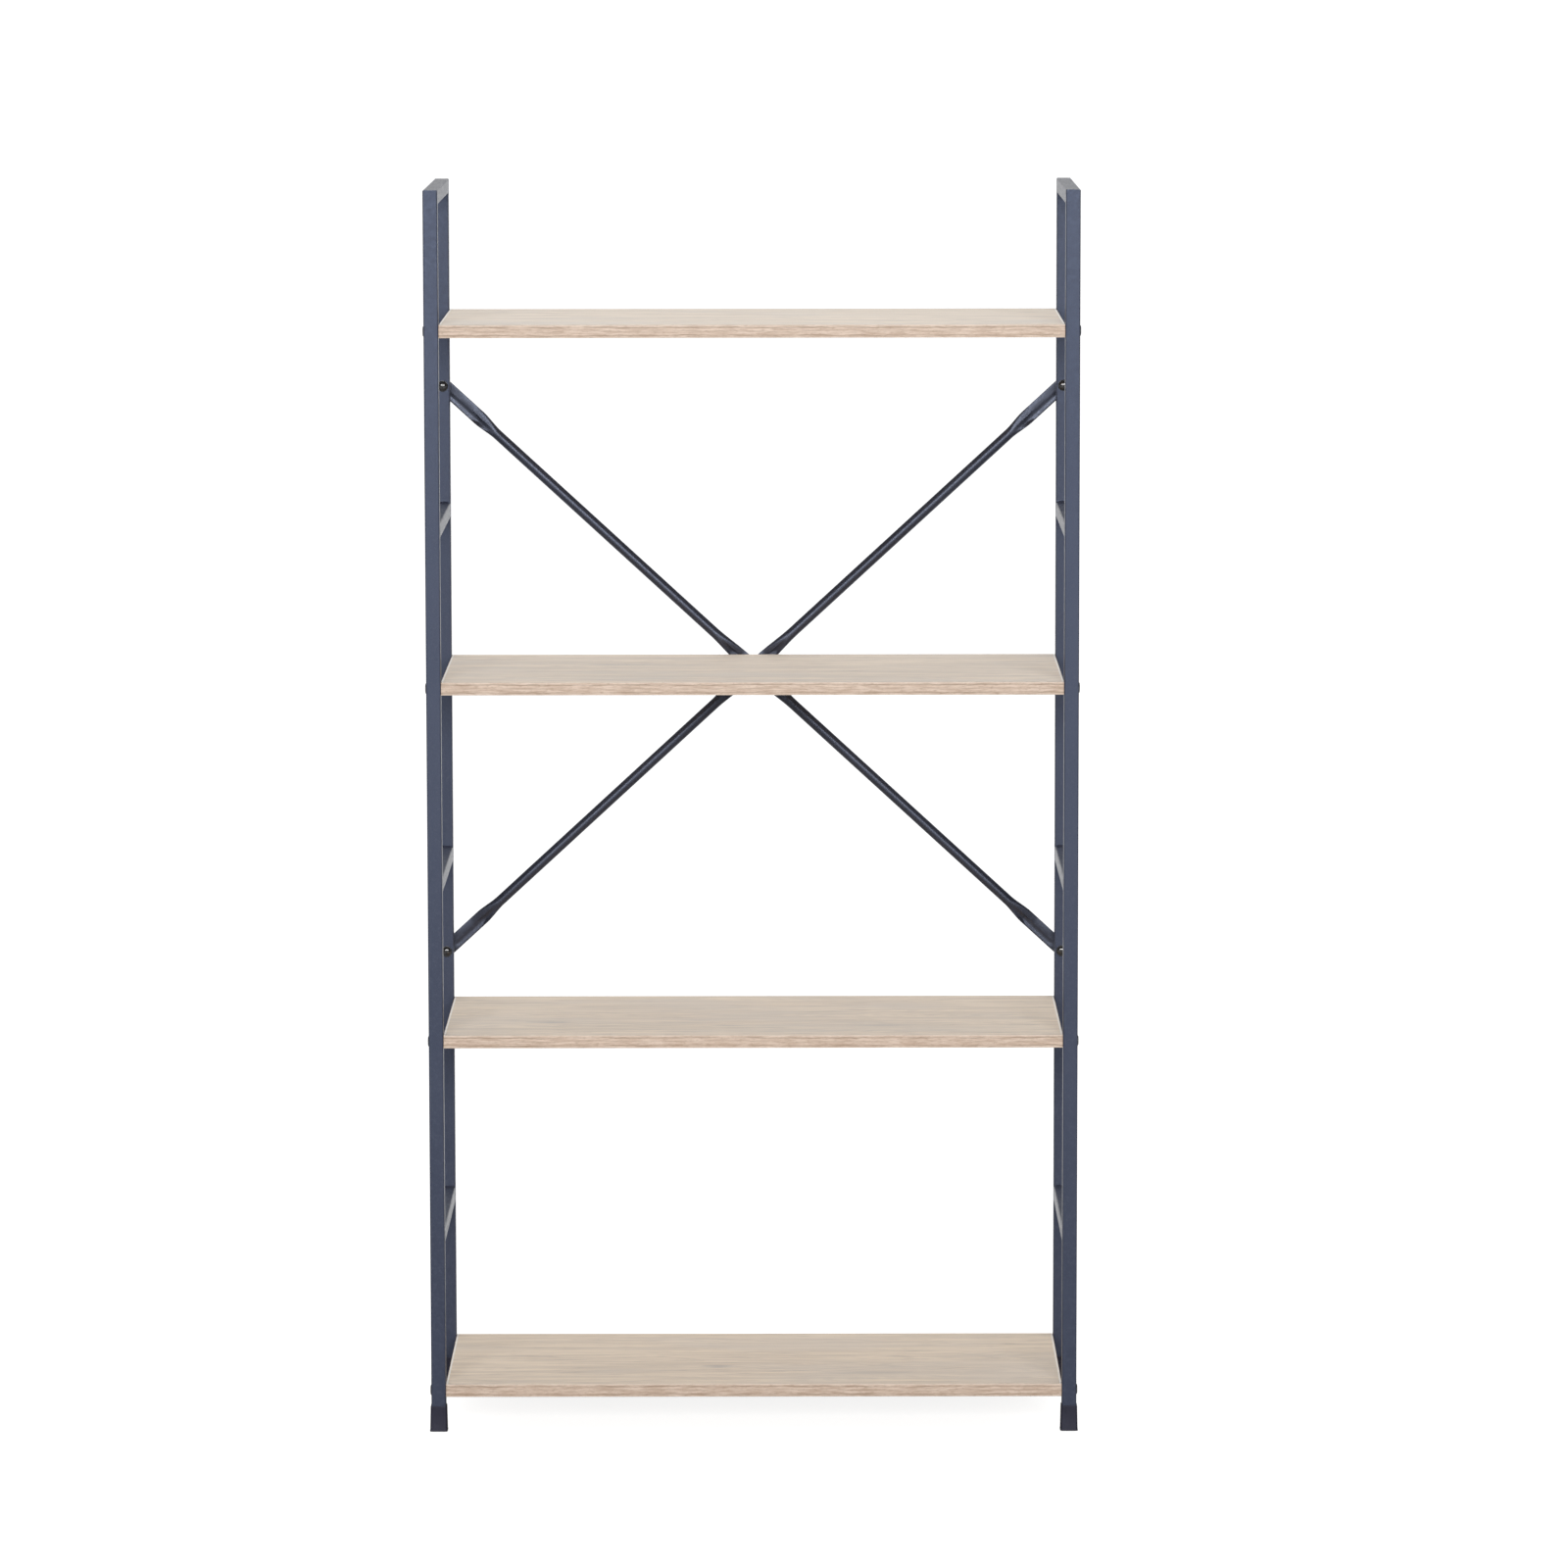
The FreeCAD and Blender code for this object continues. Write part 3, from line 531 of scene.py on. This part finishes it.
def add_foot(node):
    """Sleeve round the lower end of a post, in place of its plain solid."""
    low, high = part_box(node)
    middle = (low + high) / 2
    rings = []
    for half, height in FOOT_PROFILE:
        corner = FOOT_CORNER - (FOOT_WIDEST - half) * CORNER_PER_INSET * MM
        centre = Vector((middle.x, middle.y, height * MM))
        rings.append(rounded_rectangle(half * MM, half * MM, corner, centre))
    build = bmesh.new()
    skin(build, rings)
    add_piece(f"{node}_moulding", build, "foot_plastic", [node])


for side in SIDES:
    for end in ENDS:
        add_foot(f"{side}_{end}_foot")


# Bolts, nuts and rivet; profiles for turned() run from the head to the far end, a nut's round its wall

SHELF_BOLT = (
    (2.4, -0.8, 4), (2.4, 1.05, 4), (2.55, 1.3), (2.8, 1.38), (4.0, 1.36), (5.2, 1.24), (5.9, 1.0),
    (6.3, 0.7), (6.5, 0.35), (6.5, 0.1), (6.4, 0.0), (3.0, 0.0), (3.0, -33.5), (2.4, -35.0),
)
BRACE_BOLT = (
    (0.3, 3.6), (1.0, 3.56), (2.0, 3.45), (3.0, 3.25), (3.6, 3.08), (4.1, 2.86), (4.55, 2.55), (4.9, 2.1),
    (5.1, 1.6), (5.15, 1.3), (5.25, 1.2), (5.35, 1.2), (6.75, 1.2), (6.85, 1.2), (6.95, 1.15), (7.0, 1.05),
    (7.0, 0.15), (6.85, 0.0), (3.0, 0.0), (3.0, -26.3), (2.62, -26.55), (3.0, -26.8), (3.0, -27.05),
    (2.62, -27.3), (3.0, -27.55), (2.9, -27.8), (2.4, -28.2),
)
BRACE_NUT = (
    (3.05, 0.0), (3.05, 5.6), (3.5, 6.0), (4.6, 6.0), (5.35, 5.6, 10), (5.9, 5.15, 10), (5.9, 1.75, 10),
    (6.0, 1.45), (6.6, 1.2), (6.9, 1.0), (7.0, 0.7), (7.0, 0.15), (6.85, 0.0),
)
RIVET = (
    (1.5, 0.68), (1.8, 0.8), (3.6, 0.78), (4.5, 0.66), (4.9, 0.42), (5.0, 0.15), (4.9, 0.0), (2.5, 0.0),
    (2.5, -4.4), (4.0, -4.4), (3.95, -4.8), (3.4, -5.7), (2.7, -6.25), (1.6, -6.4),
)
FLANGE_RADIUS = 7 * MM

for name in BOARD_NAMES:
    low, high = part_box(f"{name}_bolts")
    places = [facing((side * POST_OUTER_X, end * POST_Y, (low.z + high.z) / 2), (side, 0, 0))
              for side in SIDES.values() for end in ENDS.values()]
    add_turned(f"{name}_turned_bolts", SHELF_BOLT, places, "bolt_black", [f"{name}_bolts"])

nuts_low, nuts_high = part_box("brace_nuts")
BRACE_LOW = nuts_low.z + FLANGE_RADIUS
BRACE_HIGH = nuts_high.z - FLANGE_RADIUS
brace_ends = [(side * POST_X, height) for side in SIDES.values() for height in (BRACE_LOW, BRACE_HIGH)]
bolt_places = [facing((x, POST_INNER_Y, z), (0, -1, 0)) for x, z in brace_ends]
nut_places = [facing((x, nuts_low.y, z), (0, 1, 0)) for x, z in brace_ends]
add_turned("brace_turned_bolts", BRACE_BOLT, bolt_places, "bolt_black", ["brace_bolts"])
add_turned("brace_turned_nuts", BRACE_NUT, nut_places, "bolt_black", ["brace_nuts"], closed=True)
CROSSING = Vector((0, POST_BACK, (BRACE_LOW + BRACE_HIGH) / 2))
add_turned("brace_turned_rivet", RIVET, [facing(CROSSING, (0, -1, 0))], "bolt_black", ["brace_middle_rivet"])


# Brace tubes with pressed ends and middle

BRACE_RADIUS = 6.5 * MM
FLAT_HALF = 1.1 * MM
FLAT_HALF_WIDTH = 9.25 * MM
TIP_HALF_WIDTH = 0.6 * MM
# Distances from an end's bolt and from the crossing: the press marks fade out from flat to round, the spread
# of the sides from wide to narrow
END_FLAT, END_ROUND = 49 * MM, 93 * MM
END_WIDE, END_NARROW = 60 * MM, 93 * MM
MIDDLE_FLAT, MIDDLE_ROUND = 23 * MM, 58 * MM
MIDDLE_WIDE, MIDDLE_NARROW = 12 * MM, 70 * MM
# The flat reaches further into the round tube in a tongue, in line with a groove along the pressed ends;
# places and reaches across the tube are shares of its half width
TONGUE = 13 * MM
GROOVE_MIDDLE, GROOVE_REACH = -0.40, 0.50
GROOVE_DEPTH = 0.6 * MM
GROOVE_START, GROOVE_FULL = 9 * MM, 17 * MM
# Ridges along the pressed ends: place across, reach and height
RIDGES = ((0.36, 0.64, 0.25 * MM), (-0.82, 0.28, 0.15 * MM))
RIDGE_START, RIDGE_FULL = 19 * MM, 34 * MM
# Exponents of the section's outline and of the press's slope
ROUND_POWER, FLAT_POWER = 2.0, 6.0
PRESS_POWER = 1.15
SECTION_POINTS = 96
TIP_STEPS = 8
CLOSE_STEP, WIDE_STEP = 2 * MM, 16 * MM
BRACE_RUN = math.hypot(POST_X, BRACE_HIGH - CROSSING.z)


def width_share(along):
    """How far the tube is spread at a distance from its middle: 1 is its flat width, 0 is round."""
    return max(1 - smoothstep(BRACE_RUN - along, END_WIDE, END_NARROW),
               1 - smoothstep(along, MIDDLE_WIDE, MIDDLE_NARROW))


def flatness(along, across):
    """How far the tube is pressed in at a distance from its middle: 1 is flat, 0 is round."""
    tongue = TONGUE * math.sqrt(max(1 - ((across - GROOVE_MIDDLE) / GROOVE_REACH) ** 2, 0.0))
    presses = ((BRACE_RUN - along, END_FLAT, END_ROUND), (along, MIDDLE_FLAT, MIDDLE_ROUND))
    shares = []
    for distance, flat_to, round_from in presses:
        share = min(max((distance - flat_to - tongue) / (round_from - flat_to - tongue), 0.0), 1.0)
        shares.append(1 - math.sin(share * math.pi / 2) ** PRESS_POWER)
    return max(shares)


def swell(across, place, reach):
    """Smooth hump across the tube: 1 at its place, 0 past its reach."""
    return math.cos(min(abs(across - place) / reach, 1.0) * math.pi / 2) ** 2


def brace_ring(station, middle_y, end_y):
    """Section across the tube at a station: round, or flat with a groove and ridges."""
    along = min(abs(station), BRACE_RUN)
    past = abs(station) - BRACE_RUN
    spread = width_share(along)
    half_width = blend(BRACE_RADIUS, FLAT_HALF_WIDTH, spread)
    if past > 0:
        half_width = math.sqrt(max(FLAT_HALF_WIDTH ** 2 - past ** 2, TIP_HALF_WIDTH ** 2))
    centre_y = blend(middle_y, end_y, smoothstep(abs(station), MIDDLE_NARROW, BRACE_RUN - END_NARROW))
    off_middle = smoothstep(along, END_ROUND, END_ROUND + TONGUE)
    ridge_room = smoothstep(BRACE_RUN - along, RIDGE_START, RIDGE_FULL) * off_middle
    groove_room = smoothstep(BRACE_RUN - along, GROOVE_START, GROOVE_FULL) * off_middle
    power = blend(ROUND_POWER, FLAT_POWER, spread)
    ring = []
    for i in range(SECTION_POINTS):
        angle = 2 * math.pi * i / SECTION_POINTS
        across = math.cos(angle)
        depth = math.copysign(max(1 - abs(across) ** power, 0.0) ** (1 / power), math.sin(angle))
        flat = flatness(along, across)
        half_thickness = blend(BRACE_RADIUS, FLAT_HALF, flat)
        for place, reach, height in RIDGES:
            half_thickness += height * swell(across, place, reach) * ridge_room * flat
        pressed = GROOVE_DEPTH * swell(across, GROOVE_MIDDLE, GROOVE_REACH) * groove_room * flat
        ring.append(Vector((station, centre_y + pressed + depth * half_thickness, across * half_width)))
    return ring


def brace_stations():
    """Distances from the middle, end to end, close together where the section changes."""
    turns = [step / TIP_STEPS * math.pi / 2 for step in range(TIP_STEPS + 1)]
    stations = [BRACE_RUN + FLAT_HALF_WIDTH * math.cos(turn) for turn in turns]
    distance = BRACE_RUN - 2 * CLOSE_STEP
    while distance > 0:
        stations.append(distance)
        plain = BRACE_RUN - END_NARROW > distance > MIDDLE_NARROW + 5 * CLOSE_STEP
        distance -= WIDE_STEP if plain else CLOSE_STEP
    return stations + [-station for station in stations[::-1]]


def add_brace(name, slope):
    """slope is 1 where the tube rises to the right, in the rear layer at the crossing."""
    end_y = POST_BACK + FLAT_HALF
    middle_y = end_y + (2 * FLAT_HALF if slope > 0 else 0)
    tilt = Matrix.Rotation(-slope * math.atan2(BRACE_HIGH - CROSSING.z, POST_X), 4, "Y")
    place = Matrix.Translation((0, 0, CROSSING.z)) @ tilt
    build = bmesh.new()
    rings = [brace_ring(station, middle_y, end_y) for station in brace_stations()]
    skin(build, [[place @ point for point in ring] for ring in rings])
    add_piece(f"{name}_tube", build, "frame_paint", [name], material=shaded_brace_paint)


add_brace("falling_brace", -1)
add_brace("rising_brace", 1)


# Weld beads where the bars meet the posts

RIPPLE = 2.1 * MM
BEAD_STEP = 0.35 * MM
# Sections across a bead in millimetres: in an inner corner, and over a flush seam
CORNER_BEAD = ((-0.3, -0.3), (2.1, -0.3), (1.75, 0.35), (1.1, 1.1), (0.35, 1.75), (-0.3, 2.1))
SEAM_BEAD = ((-0.9, -1.2), (2.3, -1.2), (2.5, -0.05), (1.7, 0.18), (0.7, 0.26), (-0.4, 0.18), (-1.2, -0.05))
CORNER_HALF_LENGTH, SEAM_HALF_LENGTH = 7.6 * MM, 7.4 * MM
RIPPLE_HEIGHT, WOBBLE_HEIGHT = 0.07, 0.03
TAPER_POWER, TAPER_END = 6, 0.12
wobble = random.Random(11)


def weld(build, section, middle, run, half_length, u_axis, v_axis):
    """Rippled bead along a run through its middle, thinning out at both ends."""
    start = wobble.uniform(0, 1)
    count = round(2 * half_length / BEAD_STEP)
    rings = []
    for step in range(count + 1):
        along = blend(-half_length, half_length, step / count)
        taper = max(1 - (abs(along) / half_length) ** TAPER_POWER, TAPER_END)
        ripple = RIPPLE_HEIGHT * math.sin(2 * math.pi * (along / RIPPLE + start))
        scale = taper * (1 + ripple + wobble.uniform(-WOBBLE_HEIGHT, WOBBLE_HEIGHT)) * MM
        rings.append([middle + run * along + u_axis * u * scale + v_axis * v * scale for u, v in section])
    skin(build, rings)


def add_welds(side_name):
    """All beads of one side frame: in the bars' inner corners and along their flush seams."""
    side = SIDES[side_name]
    x_axis, y_axis, z_axis = Vector((1, 0, 0)), Vector((0, 1, 0)), Vector((0, 0, 1))
    build = bmesh.new()
    for end in ENDS.values():
        into_bar = -end * y_axis
        corner_y = end * POST_INNER_Y
        for bar in CROSS_BARS:
            low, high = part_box(f"{side_name}_{bar}_bar")
            for way, z in ((-1, low.z), (1, high.z)):
                corner = Vector((side * POST_X, corner_y, z))
                weld(build, CORNER_BEAD, corner, x_axis, CORNER_HALF_LENGTH, into_bar, way * z_axis)
            for face in (-1, 1):
                seam = Vector((side * POST_X + face * TUBE_HALF, corner_y, (low.z + high.z) / 2))
                weld(build, SEAM_BEAD, seam, z_axis, SEAM_HALF_LENGTH, -into_bar, face * x_axis)
        under = Vector((side * POST_X, corner_y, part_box(f"{side_name}_top_bar")[0].z))
        weld(build, CORNER_BEAD, under, x_axis, CORNER_HALF_LENGTH, into_bar, -z_axis)
    add_piece(f"{side_name}_frame_welds", build, "frame_paint")


for side in SIDES:
    add_welds(side)


# Stage, light and camera

FLOOR_HALF = 120
# The floor's two tones where it only gives light back, and where it is seen
FLOOR_LIT = rgb(0.44, 0.44, 0.44), rgb(0.46, 0.46, 0.46)
FLOOR_SEEN = rgb(0.40, 0.40, 0.40), rgb(0.42, 0.42, 0.42)
FLOOR_GLOW = 0.86
WHITE = rgb(1, 1, 1)
# Strength of the room's light from the front and from behind
ROOM_FRONT, ROOM_BACK = 0.10, 1.15
# How much darker gloss sees the room beside and above the backdrop
MIRROR_DIM = 0.8
SENSOR_WIDTH = 36.0
LENS = 169.24
VIEW_REACH = 400
CAMERA_PLACE = (0.0395, -9.1314, 1.9538)
CAMERA_PITCH, CAMERA_TURN, CAMERA_ROLL = (math.radians(angle) for angle in (7.268, 0.007, -0.079))


def make_floor():
    """Pale floor that keeps shadows; it glows for rays that show it, and for gloss where it lies behind."""
    material, tree = new_material("studio_floor")
    mottle = tree.span(tree.noise(tree.place(), (1.5, 1.5, 1.5), detail=3), 0.3, 0.7)
    lit = tree.add("ShaderNodeBsdfDiffuse", {"Color": tree.mix(mottle, *FLOOR_LIT)})
    shade = tree.add("ShaderNodeBsdfDiffuse", {"Color": tree.mix(mottle, *FLOOR_SEEN)})
    glow = tree.add("ShaderNodeEmission", {"Color": WHITE, "Strength": FLOOR_GLOW})
    white = tree.add("ShaderNodeAddShader", {0: shade.outputs[0], 1: glow.outputs[0]})
    behind = tree.span(tree.axes(tree.place())[1], 0.3, 1.5)
    mixed = tree.add("ShaderNodeMixShader", {0: tree.seen(behind), 1: lit.outputs[0], 2: white.outputs[0]})
    tree.add("ShaderNodeOutputMaterial", {"Surface": mixed.outputs[0]})
    return material


def add_floor():
    mesh = bpy.data.meshes.new("studio_floor")
    corners = [(x * FLOOR_HALF, y * FLOOR_HALF, 0) for x, y in ((-1, -1), (1, -1), (1, 1), (-1, 1))]
    mesh.from_pydata(corners, [], [(0, 1, 2, 3)])
    mesh.materials.append(make_floor())
    floor = bpy.data.objects.new("studio_floor", mesh)
    scene.collection.objects.link(floor)


def make_world():
    """White backdrop to look at, in a room whose light is stronger from behind than from the front."""
    world = bpy.data.worlds.new("studio")
    scene.world = world
    tree = Tree(world)
    across, depth, height = tree.axes(tree.add("ShaderNodeTexCoord").outputs["Generated"])
    glossy = tree.add("ShaderNodeLightPath").outputs["Is Glossy Ray"]
    aside = tree.span(tree.math("ABSOLUTE", across), 0.25, 0.6)
    off_backdrop = tree.math("MAXIMUM", tree.span(height, 0.22, 0.5), aside)
    dimmed = tree.math("MULTIPLY", glossy, tree.math("MULTIPLY", off_backdrop, MIRROR_DIM))
    room = tree.span(depth, -1.0, 1.0, ROOM_FRONT, ROOM_BACK)
    level = tree.math("MULTIPLY", room, tree.math("SUBTRACT", 1.0, dimmed))
    fill = tree.add("ShaderNodeBackground", {"Color": WHITE, "Strength": level})
    white = tree.add("ShaderNodeBackground", {"Color": WHITE, "Strength": 1.0})
    behind = tree.math("MULTIPLY", tree.span(depth, -0.5, 0.3), tree.math("SUBTRACT", 1.0, off_backdrop))
    mixed = tree.add("ShaderNodeMixShader", {0: tree.seen(behind), 1: fill.outputs[0], 2: white.outputs[0]})
    tree.add("ShaderNodeOutputWorld", {"Surface": mixed.outputs[0]})


def add_softbox(name, position, target, width, height, power, mirrored):
    """Area lamp aimed at a target, with its power in watts; mirrored says whether gloss shows it."""
    lamp = bpy.data.lights.new(name, "AREA")
    lamp.shape = "RECTANGLE"
    lamp.size = width
    lamp.size_y = height
    lamp.energy = power
    softbox = bpy.data.objects.new(name, lamp)
    scene.collection.objects.link(softbox)
    softbox.location = position
    softbox.rotation_euler = (Vector(target) - Vector(position)).to_track_quat("-Z", "Y").to_euler()
    softbox.visible_glossy = mirrored


def add_camera():
    """Camera at the photo's angle, fitted to the object's edges."""
    camera = bpy.data.cameras.new("photo_camera")
    camera.sensor_width = SENSOR_WIDTH
    camera.lens = LENS
    camera.clip_end = VIEW_REACH
    holder = bpy.data.objects.new("photo_camera", camera)
    scene.collection.objects.link(holder)
    turned_round = Matrix.Rotation(CAMERA_TURN, 4, "Z")
    pitched = Matrix.Rotation(math.pi / 2 - CAMERA_PITCH, 4, "X")
    rolled = Matrix.Rotation(CAMERA_ROLL, 4, "Z")
    holder.matrix_world = Matrix.Translation(CAMERA_PLACE) @ turned_round @ pitched @ rolled
    scene.camera = holder


add_floor()
make_world()
add_softbox("front_softbox", position=(0.0, -8.0, 2.8), target=(0, 0, -2.0), width=6.6, height=2.0, power=520,
            mirrored=True)
add_softbox("overhead_softbox", position=(0.0, 0.2, 6.0), target=(0, 0, 0), width=4.0, height=4.0, power=12,
            mirrored=False)
add_camera()
scene.view_settings.view_transform = "Standard"
